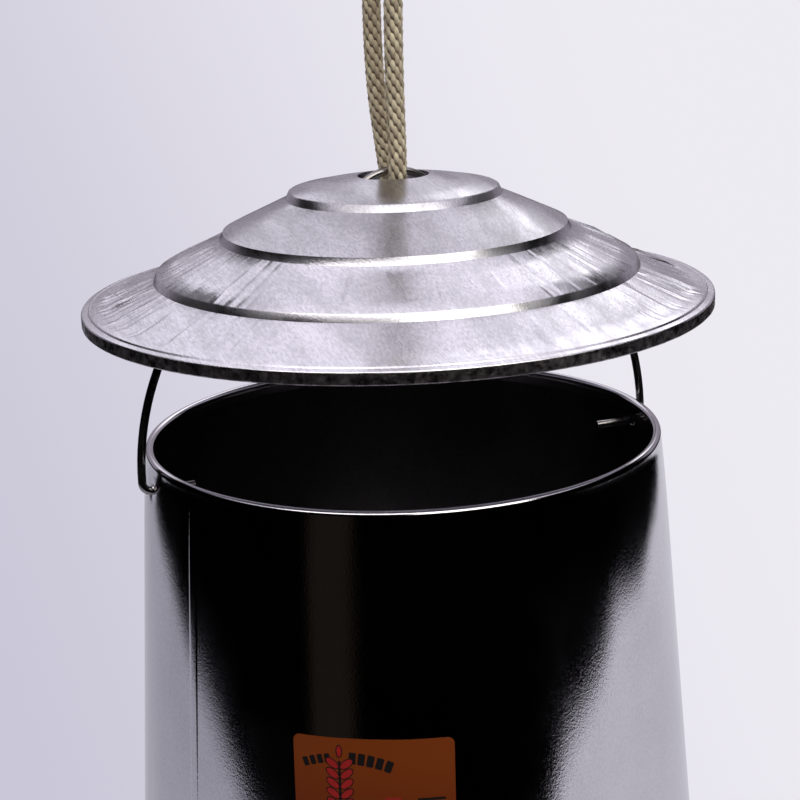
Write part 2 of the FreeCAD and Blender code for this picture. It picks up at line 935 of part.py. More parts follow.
def make_all():
    """Every sub-part by the name of its node."""
    pieces = {
        "ceiling_plate": make_ceiling_plate(),
        "ceiling_hook": make_ceiling_hook(),
        "rope_sling": make_rope(),
        "rope_knot": make_knot(),
        "bail": make_bail(),
        "cover": make_cover(),
        "hopper_tube": make_hopper(),
        "front_label": make_label(),
        "feed_pan": make_pan(),
        "feed_cone": make_cone(),
        "bracket_rivets": make_rivets(
            "bracket_rivet_set", bracket_rivet_places(), size("bracket_sheet")
        ),
        "cone_rivets": make_rivets("cone_rivet_set", cone_rivet_places(), size("pan_sheet")),
    }
    for i in range(BRACKETS):
        pieces[f"hanger_bracket_{i + 1}"] = make_bracket(i)
        pieces[f"carriage_bolt_{i + 1}"] = make_bolt(i)
        pieces[f"bolt_washer_{i + 1}"] = make_washer(i)
        pieces[f"wing_nut_{i + 1}"] = make_wing_nut(i)
    for node, piece in pieces.items():
        piece.Label = node
    return pieces


def check_and_write(pieces):
    doc.recompute()
    for thing in doc.Objects:
        if "Invalid" in thing.State or "Error" in thing.State:
            raise RuntimeError(f"{thing.Name} failed to build: {thing.State}")
    for node, piece in pieces.items():
        shape = piece.Shape
        if shape.isNull() or not shape.isValid() or not shape.Solids:
            raise RuntimeError(f"{node} has no valid solid")
    os.makedirs("parts", exist_ok=True)
    for node, piece in pieces.items():
        piece.Shape.exportStep(f"parts/{node}.step")
        box = piece.Shape.BoundBox
        print(
            f"{node}: {len(piece.Shape.Solids)} solid, {piece.Shape.Volume:.0f} mm3, "
            f"z {box.ZMin:.1f} to {box.ZMax:.1f}, x {box.XMin:.1f} to {box.XMax:.1f}"
        )


check_and_write(make_all())
print(f"crown {crown_z.value:.2f}, rim {rim_z.value:.2f}, ears {ear_z.value:.2f}")
print(f"floor {floor_z.value:.2f}, pan foot {pan_z.value:.2f}, bolts {bolt_z.value:.2f}")
print(f"cover hem {cover_z.value:.2f}, saddle {saddle_z.value:.2f}, nut face {nut_face.value:.2f}")
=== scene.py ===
import math

import bmesh
import bpy
import numpy as np
from mathutils import Matrix, Quaternion, Vector


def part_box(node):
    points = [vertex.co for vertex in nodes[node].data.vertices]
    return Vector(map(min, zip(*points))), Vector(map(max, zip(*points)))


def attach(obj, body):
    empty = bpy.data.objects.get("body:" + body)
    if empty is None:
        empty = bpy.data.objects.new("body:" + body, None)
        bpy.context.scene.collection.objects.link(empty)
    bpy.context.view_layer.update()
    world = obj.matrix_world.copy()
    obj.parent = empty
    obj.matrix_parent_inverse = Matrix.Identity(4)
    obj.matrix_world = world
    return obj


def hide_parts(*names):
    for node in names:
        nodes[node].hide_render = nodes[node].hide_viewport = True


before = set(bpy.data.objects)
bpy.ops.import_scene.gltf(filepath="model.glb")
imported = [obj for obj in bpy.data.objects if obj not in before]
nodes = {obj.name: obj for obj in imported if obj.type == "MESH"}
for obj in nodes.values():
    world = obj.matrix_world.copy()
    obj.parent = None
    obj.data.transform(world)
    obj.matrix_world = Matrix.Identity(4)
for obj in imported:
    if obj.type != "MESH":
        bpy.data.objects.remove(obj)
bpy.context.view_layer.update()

# Hanging poultry feeder: galvanized hopper, stepped cover, wire bail on a braided sling.
mm = 0.001
sharpEdge = 35.0  # degrees between two faces from which their edge stays sharp
fullTurn = 2 * math.pi
coverLow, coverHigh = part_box("cover")
hopperLow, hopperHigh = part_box("hopper_tube")
panLow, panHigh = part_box("feed_pan")
coneLow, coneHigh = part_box("feed_cone")
print("frame loaded")


# ---------- small helpers for node trees and meshes
def addNode(tree, kind, values=None, **props):
    node = tree.nodes.new(kind)
    for name, value in props.items():
        setattr(node, name, value)
    for key, value in (values or {}).items():
        socket = node.inputs[key]
        if isinstance(value, bpy.types.NodeSocket):
            tree.links.new(value, socket)
        else:
            socket.default_value = value
    return node


def firstOut(tree, kind, values=None, **props):
    return addNode(tree, kind, values, **props).outputs[0]


def calc(tree, operation, *values):
    return firstOut(tree, "ShaderNodeMath", dict(enumerate(values)), operation=operation)


def product(tree, first, second):
    return calc(tree, "MULTIPLY", first, second)


def total(tree, first, second):
    return calc(tree, "ADD", first, second)


def vectorCalc(tree, operation, *values):
    node = addNode(tree, "ShaderNodeVectorMath", dict(enumerate(values)), operation=operation)
    return node.outputs["Value" if operation == "DOT_PRODUCT" else "Vector"]


def rampTo(tree, value, low, high, start=0.0, end=1.0):
    node = addNode(
        tree,
        "ShaderNodeMapRange",
        {"Value": value, "From Min": low, "From Max": high, "To Min": start, "To Max": end},
        interpolation_type="SMOOTHSTEP",
    )
    return node.outputs["Result"]


def noise(tree, place, scale, detail, roughness=0.5):
    values = {"Vector": place, "Scale": scale, "Detail": detail, "Roughness": roughness}
    return addNode(tree, "ShaderNodeTexNoise", values).outputs["Fac"]


def mixed(tree, factor, first, second, blend="MIX"):
    values = {"Factor": factor, "A": (*first, 1.0), "B": second}
    node = addNode(tree, "ShaderNodeMix", values, data_type="RGBA", blend_type=blend)
    return node.outputs["Result"]


def stretchTo(tree, value, low, high):
    values = {"Value": value, "To Min": low, "To Max": high}
    return addNode(tree, "ShaderNodeMapRange", values).outputs["Result"]


def link(obj):
    bpy.context.scene.collection.objects.link(obj)
    return obj


def meshObject(name, points, faces, materials=()):
    mesh = bpy.data.meshes.new(name)
    mesh.from_pydata([tuple(p) for p in points], [], faces)
    for material in materials:
        mesh.materials.append(material)
    return link(bpy.data.objects.new(name, mesh))


def finishMesh(obj):
    mesh = obj.data
    work = bmesh.new()
    work.from_mesh(mesh)
    bmesh.ops.recalc_face_normals(work, faces=work.faces)
    work.to_mesh(mesh)
    work.free()
    mesh.polygons.foreach_set("use_smooth", [True] * len(mesh.polygons))
    mesh.set_sharp_from_angle(angle=math.radians(sharpEdge))
    mesh.update()
    return obj


def roundedProfile(corners, steps=4):
    # corners are (radius, height, fillet), and the result is (radius, height) with arcs
    line = []
    for i, (radius, height, fillet) in enumerate(corners):
        here = Vector((radius, height))
        if fillet <= 0 or i in (0, len(corners) - 1):
            line.append(here)
            continue
        back = (Vector(corners[i - 1][:2]) - here).normalized()
        ahead = (Vector(corners[i + 1][:2]) - here).normalized()
        half = back.angle(ahead) / 2
        reach = fillet / math.tan(half)
        centre = here + (back + ahead).normalized() * (fillet / math.sin(half))
        first = here + back * reach - centre
        last = here + ahead * reach - centre
        turn = first.angle_signed(last)
        for k in range(steps + 1):
            angle = -turn * k / steps
            line.append(centre + Matrix.Rotation(angle, 2) @ first)
    return [(p.x, p.y) for p in line]


def subdivided(line, longest):
    points = [line[0]]
    for start, end in zip(line, line[1:]):
        count = max(1, math.ceil(math.dist(start, end) / longest))
        for k in range(1, count + 1):
            share = k / count
            points.append(tuple(a + (b - a) * share for a, b in zip(start, end)))
    return points


def insideLine(line, sheet):
    # the same line moved by the sheet's thickness, to the right of its direction
    moved = []
    for i, (radius, height) in enumerate(line):
        before = line[max(0, i - 1)]
        after = line[min(len(line) - 1, i + 1)]
        along = Vector((after[0] - before[0], after[1] - before[1])).normalized()
        moved.append((radius + along.y * sheet, height - along.x * sheet))
    return moved


def evenAngles(count):
    return np.linspace(0, fullTurn, count, endpoint=False)


def awayFrom(angles, angle):
    return (angles - angle + math.pi) % fullTurn - math.pi


def turnedMesh(name, loop, angles, lift, shift=None, materials=(), closed=True, finish=None):
    # loop is (radius, height) in mm. shift gives (radius, height) offsets over the surface,
    # and finish gives the material number of the strip that starts at a point of the loop
    count = len(angles)
    cosines, sines = np.cos(angles), np.sin(angles)
    points, rings = [], []
    for radius, height in loop:
        if radius < 1e-6:
            rings.append([len(points)] * count)
            points.append((0.0, 0.0, lift + height * mm))
            continue
        out, up = shift(angles, radius, height) if shift else (0.0, 0.0)
        r = (radius + out) * mm * np.ones(count)
        z = lift + (height + up) * mm * np.ones(count)
        start = len(points)
        points.extend(zip(r * cosines, r * sines, z))
        rings.append(list(range(start, start + count)))
    faces, numbers = [], []
    pairs = list(zip(rings, rings[1:]))
    if closed:
        pairs.append((rings[-1], rings[0]))
    for place, (lower, upper) in enumerate(pairs):
        for k in range(count):
            n = (k + 1) % count
            face = [lower[k], lower[n], upper[n], upper[k]]
            face = [v for j, v in enumerate(face) if v not in face[:j]]
            if len(face) > 2:
                faces.append(face)
                numbers.append(finish[place] if finish else 0)
    turned = meshObject(name, points, faces, materials)
    turned.data.polygons.foreach_set("material_index", numbers)
    return finishMesh(turned)


# ---------- camera
cameraSetup = {
    "distance": 0.9,
    "azimuth": -20.0,
    "elevation": 16.67,
    "roll": -2.18,
    "lens": 79.62,
    "shiftX": -0.0034,
    "shiftY": 0.034,
}


def sightLine(azimuth, elevation):
    a, e = math.radians(azimuth), math.radians(elevation)
    return Vector((math.sin(a) * math.cos(e), -math.cos(a) * math.cos(e), math.sin(e)))


def makeCamera(setup):
    data = bpy.data.cameras.new("feederView")
    data.lens = setup["lens"]
    data.shift_x, data.shift_y = setup["shiftX"], setup["shiftY"]
    camera = link(bpy.data.objects.new("feederView", data))
    back = sightLine(setup["azimuth"], setup["elevation"])
    target = Vector((0, 0, hopperHigh.z))
    camera.location = target + back * setup["distance"]
    camera.rotation_mode = "QUATERNION"
    roll = Quaternion((0, 0, 1), math.radians(setup["roll"]))
    camera.rotation_quaternion = (-back).to_track_quat("-Z", "Y") @ roll
    bpy.context.scene.camera = camera


makeCamera(cameraSetup)
print("camera placed")


# ---------- shader node groups that several finishes share
def makeZincGroup():
    # grain and drawing lines of zinc coated sheet: tone, roughness and a height for bump
    group = bpy.data.node_groups.new("zincSheet", "ShaderNodeTree")
    amounts = ("Grain Scale", "Cloud Scale", "Tone Dark", "Tone Light", "Rough Low", "Rough High")
    for labels, kind, side in (
        (("Vector", "Line Stretch"), "Vector", "INPUT"),
        (amounts, "Float", "INPUT"),
        (("Tone", "Roughness", "Height"), "Float", "OUTPUT"),
    ):
        for label in labels:
            group.interface.new_socket(label, in_out=side, socket_type="NodeSocket" + kind)
    given = group.nodes.new("NodeGroupInput").outputs
    out = group.nodes.new("NodeGroupOutput")
    stretched = vectorCalc(group, "MULTIPLY", given["Vector"], given["Line Stretch"])
    lines = noise(group, stretched, given["Grain Scale"], 3.0, 0.6)
    speckle = noise(group, given["Vector"], given["Grain Scale"], 2.0)
    cloud = noise(group, stretched, given["Cloud Scale"], 4.0, 0.55)
    blotch = total(group, product(group, lines, 0.55), product(group, cloud, 0.45))
    shade = rampTo(group, blotch, 0.32, 0.68)
    tone = stretchTo(group, shade, given["Tone Dark"], given["Tone Light"])
    polish = rampTo(group, cloud, 0.3, 0.7)
    rough = stretchTo(group, polish, given["Rough High"], given["Rough Low"])
    height = total(group, product(group, lines, 0.6), product(group, speckle, 0.4))
    group.links.new(tone, out.inputs["Tone"])
    group.links.new(rough, out.inputs["Roughness"])
    group.links.new(height, out.inputs["Height"])
    return group


zincGroup = makeZincGroup()


def newMaterial(name, values):
    material = bpy.data.materials.new(name)
    material.use_nodes = True
    tree = material.node_tree
    shader = tree.nodes["Principled BSDF"]
    for label, value in values.items():
        shader.inputs[label].default_value = value
    return material, tree, shader


def objectCoords(tree):
    return addNode(tree, "ShaderNodeTexCoord").outputs["Object"]


# every zinc finish starts from these, and each piece gives what differs
zincSetup = {
    "Grain Scale": 1100.0,
    "Line Stretch": (1.0, 1.0, 1.0),
    "Tone Dark": 0.7,
    "Tone Light": 1.08,
    "Rough Low": 0.2,
    "Rough High": 0.36,
    "Cloud Scale": 18.0,
    "bump": 0.3,
    "bumpHeight": 0.0001,
}


def zincMaterial(name, changes):
    setup = {**zincSetup, **changes}
    material, tree, shader = newMaterial(name, {"Metallic": 1.0})
    place = objectCoords(tree)
    if setup.get("around"):  # lines run round the piece: angle, radius and height
        x, y, z = addNode(tree, "ShaderNodeSeparateXYZ", {0: place}).outputs
        angle = product(tree, calc(tree, "ARCTAN2", y, x), setup["around"])
        radius = calc(tree, "SQRT", total(tree, product(tree, x, x), product(tree, y, y)))
        place = firstOut(tree, "ShaderNodeCombineXYZ", {"X": angle, "Y": radius, "Z": z})
    group = addNode(tree, "ShaderNodeGroup", node_tree=zincGroup)
    tree.links.new(place, group.inputs["Vector"])
    for label in zincSetup:
        if label in group.inputs:
            group.inputs[label].default_value = setup[label]
    tone = group.outputs["Tone"]
    if setup.get("paintedCrownShade"):  # painted shade: the part nearer the middle is painted darker, standing in for the dimmer reflection it shows
        flat = vectorCalc(tree, "MULTIPLY", objectCoords(tree), (1, 1, 0))
        away = addNode(tree, "ShaderNodeVectorMath", {0: flat}, operation="LENGTH").outputs["Value"]
        low, high, least = setup["paintedCrownShade"]
        tone = product(tree, tone, rampTo(tree, away, low, high, least, 1.0))
    colour = mixed(tree, 1.0, setup["colour"], tone, "MULTIPLY")
    tree.links.new(colour, shader.inputs["Base Color"])
    tree.links.new(group.outputs["Roughness"], shader.inputs["Roughness"])
    grain = {"Height": group.outputs["Height"], "Strength": setup["bump"]}
    bump = addNode(tree, "ShaderNodeBump", {**grain, "Distance": setup["bumpHeight"]})
    tree.links.new(bump.outputs["Normal"], shader.inputs["Normal"])
    return material


coverLook = {
    "colour": (0.72, 0.7, 0.76),
    # crown and first band painted darker: painted shade for their dimmer reflection
    "paintedCrownShade": (0.084, 0.088, 0.72),
    "Grain Scale": 1000.0,
    "Line Stretch": (1.0, 0.16, 1.0),
    "Tone Dark": 0.74,
    "Tone Light": 1.14,
    "Cloud Scale": 70.0,
    "bump": 0.35,
    "bumpHeight": 0.0002,
}
hemLook = {
    "colour": (0.34, 0.31, 0.32),
    "Grain Scale": 260.0,
    "Tone Dark": 0.15,
    "Tone Light": 1.5,
    "Rough Low": 0.22,
    "Rough High": 0.5,
    "Cloud Scale": 240.0,
    "bump": 0.6,
    "bumpHeight": 0.0006,
}
# the hopper's inside: the same zinc painted much darker, painted shade for the little light that
# gets into the tube
interiorShadeLook = {
    "colour": (0.16, 0.15, 0.155),
    "around": 0.14,
    "Line Stretch": (1.0, 1.0, 0.6),
    "Tone Light": 1.1,
    "Rough Low": 0.3,
    "Rough High": 0.45,
}
hopperLook = {
    "colour": (0.62, 0.6, 0.64),
    "around": 0.14,
    "Line Stretch": (1.0, 1.0, 0.6),
    "Tone Dark": 0.86,
    "Tone Light": 1.04,
    "Rough Low": 0.05,
    "Rough High": 0.11,
    "bump": 0.5,
}
panLook = {
    "colour": (0.64, 0.63, 0.67),
    "Grain Scale": 800.0,
    "Line Stretch": (1.0, 0.15, 1.0),
    "Tone Dark": 0.78,
    "Rough High": 0.34,
    "Cloud Scale": 24.0,
    "bumpHeight": 0.00015,
}
wireLook = {
    "colour": (0.3, 0.28, 0.28),
    "Grain Scale": 1500.0,
    "Tone Light": 1.15,
    "Rough Low": 0.16,
    "Rough High": 0.3,
    "Cloud Scale": 60.0,
    "bump": 0.25,
}
hardwareLook = {
    "colour": (0.58, 0.58, 0.6),
    "Grain Scale": 1800.0,
    "Tone Dark": 0.8,
    "Cloud Scale": 90.0,
    "bump": 0.2,
}
coverZinc = zincMaterial("coverZinc", coverLook)
hemZinc = zincMaterial("hemZinc", hemLook)
interiorShadeZinc = zincMaterial("interiorShadeZinc", interiorShadeLook)
hopperZinc = zincMaterial("hopperZinc", hopperLook)
panZinc = zincMaterial("panZinc", panLook)
wireZinc = zincMaterial("wireZinc", wireLook)
hardwareZinc = zincMaterial("hardwareZinc", hardwareLook)


yarnWidth = 0.00042


def ropeMaterial(name, dark, light, fibreBump):
    fibre = {"Roughness": 0.62, "Sheen Weight": 0.25, "Sheen Roughness": 0.4}
    material, tree, shader = newMaterial(name, fibre)
    place = addNode(tree, "ShaderNodeAttribute", attribute_name="pickPlace").outputs["Vector"]
    tone = addNode(tree, "ShaderNodeAttribute", attribute_name="pickTone").outputs["Fac"]
    split = addNode(tree, "ShaderNodeSeparateXYZ", {0: place})
    yarns = calc(tree, "SINE", product(tree, split.outputs["Y"], fullTurn / yarnWidth))
    grime = noise(tree, objectCoords(tree), 220.0, 3.0)
    crown = rampTo(tree, split.outputs["Z"], -0.0006, 0.0009)  # the sides of a pick are in shade
    share = product(tree, total(tree, product(tree, tone, 0.5), grime), 1.1)
    share = product(tree, share, total(tree, product(tree, crown, 0.55), 0.45))
    share = total(tree, share, product(tree, yarns, 0.05))
    colour = mixed(tree, share, dark, (*light, 1.0))
    tree.links.new(colour, shader.inputs["Base Color"])
    values = {"Height": yarns, "Strength": fibreBump, "Distance": 0.00008}
    bump = addNode(tree, "ShaderNodeBump", values)
    tree.links.new(bump.outputs["Normal"], shader.inputs["Normal"])
    return material


ropePick = ropeMaterial("ropePick", (0.3, 0.2, 0.14), (1.0, 0.88, 0.64), 0.5)
# the core shows only between the picks: the same cord painted much darker, painted shade for the
# gaps
ropeCoreShade = ropeMaterial("ropeCoreShade", (0.12, 0.08, 0.06), (0.3, 0.23, 0.16), 0.2)
print("finishes made")


# ---------- braided sling: picks laid in staggered columns along the cord's own line
ropeSetup = {
    # from the knot's foot, down the back strand, under the crown, up the front, over the hook
    "route": [
        (-0.0023, 0.0128, -0.103),
        (-0.005, 0.0114, -0.156),
        (0.0, 0.0076, -0.2115),
        (0.0, 0.0034, -0.2179),
        (0.0, -0.0034, -0.2179),
        (0.0, -0.0076, -0.2115),
        (-0.0002, -0.0068, -0.156),
        (0.0019, -0.007, -0.0985),
        (0.0049, -0.0084, -0.041),
        (0.0018, -0.003, -0.0362),
        (-0.0018, 0.003, -0.0362),
        (-0.0049, 0.0086, -0.041),
        (-0.0026, 0.0124, -0.063),
        (-0.0023, 0.0128, -0.073),
    ],
    "diameter": 0.0095,
    "length": 0.346,
    "Columns": 12,
    "Pitch": 0.0062,
    "Pick Radius": 0.00385,
    "Pick Length": 0.0071,
    "Pick Width": 0.0027,
    "Pick Height": 0.0019,
    "Lean": 0.2,
    "tipDive": 70.0,  # how fast a pick's tips tuck under, in 1/m
}


def newGeometryTree(name, floats, materials, whole=()):
    tree = bpy.data.node_groups.new(name, "GeometryNodeTree")
    tree.interface.new_socket("Geometry", in_out="INPUT", socket_type="NodeSocketGeometry")
    tree.interface.new_socket("Geometry", in_out="OUTPUT", socket_type="NodeSocketGeometry")
    kinds = [(label, "Int") for label in whole] + [(label, "Float") for label in floats]
    for label, kind in kinds + [(label, "Material") for label in materials]:
        tree.interface.new_socket(label, in_out="INPUT", socket_type="NodeSocket" + kind)
    return tree, tree.nodes.new("NodeGroupInput").outputs, tree.nodes.new("NodeGroupOutput")


def scaled(tree, vector, amount):
    values = {0: vector, "Scale": amount}
    return addNode(tree, "ShaderNodeVectorMath", values, operation="SCALE").outputs["Vector"]


def makeBraidTree():
    sizes = ("Pitch", "Pick Radius", "Pick Length", "Pick Width", "Pick Height", "Lean")
    tree, given, out = newGeometryTree(
        "braidedCord", sizes, ("Pick Material", "Core Material"), whole=("Columns",)
    )
    curve = firstOut(tree, "GeometryNodeMeshToCurve", {"Mesh": given["Geometry"]})
    length = firstOut(tree, "GeometryNodeCurveLength", {"Curve": curve})
    rows = calc(tree, "FLOOR", calc(tree, "DIVIDE", length, given["Pitch"]))
    count = product(tree, rows, given["Columns"])
    points = firstOut(tree, "GeometryNodePoints", {"Count": count})
    index = firstOut(tree, "GeometryNodeInputIndex")
    column = calc(tree, "MODULO", index, given["Columns"])
    row = calc(tree, "FLOOR", calc(tree, "DIVIDE", index, given["Columns"]))
    offset = product(tree, calc(tree, "MODULO", column, 2.0), 0.5)  # every other column is half on
    along = product(tree, total(tree, total(tree, row, offset), 0.25), given["Pitch"])
    sample = addNode(
        tree, "GeometryNodeSampleCurve", {"Curves": curve, "Length": along}, mode="LENGTH"
    ).outputs
    angle = product(tree, calc(tree, "DIVIDE", column, given["Columns"]), fullTurn)
    side = vectorCalc(tree, "CROSS_PRODUCT", sample["Tangent"], sample["Normal"])
    ahead = scaled(tree, sample["Normal"], calc(tree, "COSINE", angle))
    across = scaled(tree, side, calc(tree, "SINE", angle))
    outward = vectorCalc(tree, "ADD", ahead, across)
    place = vectorCalc(
        tree, "ADD", sample["Position"], scaled(tree, outward, given["Pick Radius"])
    )
    points = firstOut(tree, "GeometryNodeSetPosition", {"Geometry": points, "Position": place})
    align = "FunctionNodeAlignRotationToVector"
    turned = firstOut(tree, align, {"Vector": outward}, axis="Z")
    facing = {"Rotation": turned, "Vector": sample["Tangent"]}
    turned = firstOut(tree, align, facing, axis="X", pivot_axis="Z")
    leaning = {"Axis": (0, 0, 1), "Angle": given["Lean"]}
    lean = firstOut(tree, "FunctionNodeAxisAngleToRotation", leaning)
    both = {"Rotation": turned, "Rotate By": lean}
    turned = firstOut(tree, "FunctionNodeRotateRotation", both, rotation_space="LOCAL")
    ball = firstOut(tree, "GeometryNodeMeshUVSphere", {"Segments": 8, "Rings": 6, "Radius": 0.5})
    # the ball's poles lie along the pick, so it is laid down before it is stretched
    lying = {"Geometry": ball, "Rotation": (0, math.pi / 2, 0)}
    laid = firstOut(tree, "GeometryNodeTransform", lying)
    sides = {"X": given["Pick Length"], "Y": given["Pick Width"], "Z": given["Pick Height"]}
    shape = firstOut(tree, "ShaderNodeCombineXYZ", sides)
    pick = firstOut(tree, "GeometryNodeTransform", {"Geometry": laid, "Scale": shape})
    own = firstOut(tree, "GeometryNodeInputPosition")
    ownX = addNode(tree, "ShaderNodeSeparateXYZ", {0: own}).outputs["X"]
    dive = product(tree, product(tree, ownX, ownX), -ropeSetup["tipDive"])
    tuck = firstOut(tree, "ShaderNodeCombineXYZ", {"Z": dive})
    pick = firstOut(tree, "GeometryNodeSetPosition", {"Geometry": pick, "Offset": tuck})
    stored = {"Geometry": pick, "Name": "pickPlace", "Value": own}
    pick = firstOut(tree, "GeometryNodeStoreNamedAttribute", stored, data_type="FLOAT_VECTOR")
    laidOut = {"Points": points, "Instance": pick, "Rotation": turned}
    made = firstOut(tree, "GeometryNodeInstanceOnPoints", laidOut)
    tone = addNode(tree, "FunctionNodeRandomValue", {"Seed": 5}, data_type="FLOAT").outputs[1]
    made = firstOut(
        tree,
        "GeometryNodeStoreNamedAttribute",
        {"Geometry": made, "Name": "pickTone", "Value": tone},
        data_type="FLOAT",
        domain="INSTANCE",
    )
    made = firstOut(tree, "GeometryNodeRealizeInstances", {"Geometry": made})
    finish = "GeometryNodeSetMaterial"
    made = firstOut(tree, finish, {"Geometry": made, "Material": given["Pick Material"]})
    circle = {"Resolution": 12, "Radius": given["Pick Radius"]}
    ring = firstOut(tree, "GeometryNodeCurvePrimitiveCircle", circle)
    tube = {"Curve": curve, "Profile Curve": ring, "Fill Caps": True}
    core = firstOut(tree, "GeometryNodeCurveToMesh", tube)
    core = firstOut(tree, finish, {"Geometry": core, "Material": given["Core Material"]})
    both = addNode(tree, "GeometryNodeJoinGeometry")
    tree.links.new(core, both.inputs[0])
    tree.links.new(made, both.inputs[0])
    smooth = firstOut(tree, "GeometryNodeSetShadeSmooth", {"Geometry": both.outputs[0]})
    tree.links.new(smooth, out.inputs[0])
    return tree


braidTree = makeBraidTree()


def builtMesh(name, points, edges, tree, values):
    # what a node tree makes of some points, as a plain mesh of its own
    start = bpy.data.meshes.new(name + "Start")
    start.from_pydata(points, edges, [])
    holder = link(bpy.data.objects.new(name + "Start", start))
    modifier = holder.modifiers.new("made", "NODES")
    modifier.node_group = tree
    for item in tree.interface.items_tree:
        if item.item_type == "SOCKET" and item.in_out == "INPUT" and item.name in values:
            modifier[item.identifier] = values[item.name]
    bpy.context.view_layer.update()
    graph = bpy.context.evaluated_depsgraph_get()
    mesh = bpy.data.meshes.new_from_object(holder.evaluated_get(graph))
    mesh.name = name
    bpy.data.objects.remove(holder)
    return link(bpy.data.objects.new(name, mesh))


def smoothLine(name, route):
    data = bpy.data.curves.new(name, "CURVE")
    data.dimensions = "3D"
    data.resolution_u = 16
    spline = data.splines.new("NURBS")
    spline.points.add(len(route) - 1)
    for point, place in zip(spline.points, route):
        point.co = (*place, 1.0)
    spline.order_u = 3
    spline.use_endpoint_u = True
    holder = link(bpy.data.objects.new(name, data))
    mesh = bpy.data.meshes.new_from_object(holder)
    line = [tuple(v.co) for v in mesh.vertices]
    bpy.data.objects.remove(holder)
    bpy.data.meshes.remove(mesh)
    return line


def braidAlong(name, line):
    edges = [(i, i + 1) for i in range(len(line) - 1)]
    values = {**ropeSetup, "Pick Material": ropePick, "Core Material": ropeCoreShade}
    return builtMesh(name, line, edges, braidTree, values)


ropeLine = smoothLine("slingRoute", ropeSetup["route"])
sling = braidAlong("rope_braid", ropeLine)
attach(sling, "sling")
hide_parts("rope_sling")
print("sling braided")


# ---------- barrel knot that closes the sling
knotSetup = {"turns": 3.0, "coilRadius": 0.0079, "pointsPerTurn": 10, "tail": 0.012}


def makeKnot(setup):
    low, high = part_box("rope_knot")
    middle = (low + high) / 2
    half = ropeSetup["diameter"] / 2
    bottom, top = low.z + half, high.z - half
    steps = round(setup["turns"] * setup["pointsPerTurn"])
    route = [Vector(ropeSetup["route"][0]) + Vector((0, 0, 0.001))]
    route.append(Vector((middle.x, middle.y, bottom - 0.001)))
    for k in range(steps + 1):
        angle = fullTurn * setup["turns"] * k / steps
        spin = Vector((math.cos(angle), math.sin(angle), 0)) * setup["coilRadius"]
        height = bottom + (top - bottom) * k / steps
        route.append(Vector((middle.x, middle.y, height)) + spin)
    end = route[-1]
    route.append(end + Vector((-0.002, 0.007, setup["tail"] * 0.4)))
    route.append(end + Vector((-0.002, 0.009, setup["tail"])))
    coil = braidAlong("rope_knot_coil", smoothLine("knotRoute", route))
    straight = [
        Vector(ropeSetup["route"][0]) - Vector((0, 0, 0.002)),
        middle + Vector((0.0, 0.0, -0.004)),
        middle + Vector((0.0, 0.0, 0.004)),
        Vector(ropeSetup["route"][-1]) + Vector((0, 0, 0.002)),
    ]
    heart = braidAlong("rope_knot_heart", smoothLine("heartRoute", straight))
    for piece in (coil, heart):
        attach(piece, "sling")
    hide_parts("rope_knot")
    return coil, heart


knotCoil, knotHeart = makeKnot(knotSetup)
print("knot tied")


# ---------- stepped cover
coverSetup = {
    "radius": coverHigh.x / mm,
    "height": (coverHigh.z - coverLow.z) / mm,
    "hole": 17.5,
    "sheet": 0.6,
    "crown": 51.0,
    "crownDrop": 5.9,
    "stepRun": 1.7,
    "stepDrop": 3.7,
    "band": 31.6,
    "bandDrop": 14.4,
    "brimWidth": 12.5,
    "brimRise": 1.9,
    "hem": 6.1,
    "hemThick": 1.3,
    "crownBlend": 12.0,
    "crownLift": 2.4,
    "crownFillet": 30.0,
    "lipFillet": 1.1,
    "rootFillet": 0.9,
    "brimFillet": 4.0,
    "grooveInset": 4.6,
    "grooveHalf": 0.7,
    "columns": 864,
    "wrinkleSeed": 11,
    "dentSeed": 3,
    "dents": 90,
}


def coverProfile(s):
    corners = [(s["hole"], s["height"], 0)]
    radius, height = s["crown"], s["height"] - s["crownDrop"]
    blend = (radius - s["crownBlend"], height + s["crownLift"], s["crownFillet"])
    corners += [blend, (radius, height, s["lipFillet"])]
    for _ in range(2):
        radius, height = radius + s["stepRun"], height - s["stepDrop"]
        corners.append((radius, height, s["rootFillet"]))
        radius, height = radius + s["band"], height - s["bandDrop"]
        corners.append((radius, height, s["lipFillet"]))
    radius, height = radius + s["stepRun"], height - s["stepDrop"]
    corners.append((radius, height, s["rootFillet"]))
    hem = s["hem"]
    corners.append((s["radius"] - s["brimWidth"], hem + s["brimRise"], s["brimFillet"]))
    groove, half = s["radius"] - s["grooveInset"], s["grooveHalf"]
    corners += [(groove - half, hem + 0.75, 0.5), (groove, hem + 0.45, 0.4)]
    corners += [(groove + half, hem + 0.62, 0.5), (s["radius"], hem + 0.05, s["lipFillet"])]
    corners.append((s["radius"], 0.6, 0))
    return roundedProfile(corners)


def coverWrinkles(s):
    # radial puckers of the two outer bands, where the flat blank was gathered
    rng = np.random.default_rng(s["wrinkleSeed"])
    second = s["crown"] + s["band"] + 2 * s["stepRun"]
    third = second + s["band"] + s["stepRun"]
    view = math.radians(cameraSetup["azimuth"] - 90)
    found = []
    for inner, outer, count, depth in (
        (third, s["radius"] - s["brimWidth"] + 2, 420, 0.62),
        (second, third - s["stepRun"], 300, 0.52),
        (s["crown"] + s["stepRun"], second - s["stepRun"], 60, 0.05),
    ):
        for _ in range(count):
            angle = rng.uniform(0, fullTurn)
            sideways = abs(math.sin(angle - view))
            if rng.uniform() > 0.25 + 0.85 * sideways**2:
                continue
            found.append(
                (
                    inner,
                    outer,
                    angle,
                    rng.uniform(0.7, 1.9) / outer,
                    rng.normal(0, depth) * (0.3 + 0.9 * sideways),
                    rng.uniform(0.35, 0.95),
                    rng.uniform(0.25, 0.6),
                    rng.uniform(-0.05, 0.05),
                )
            )
    return found


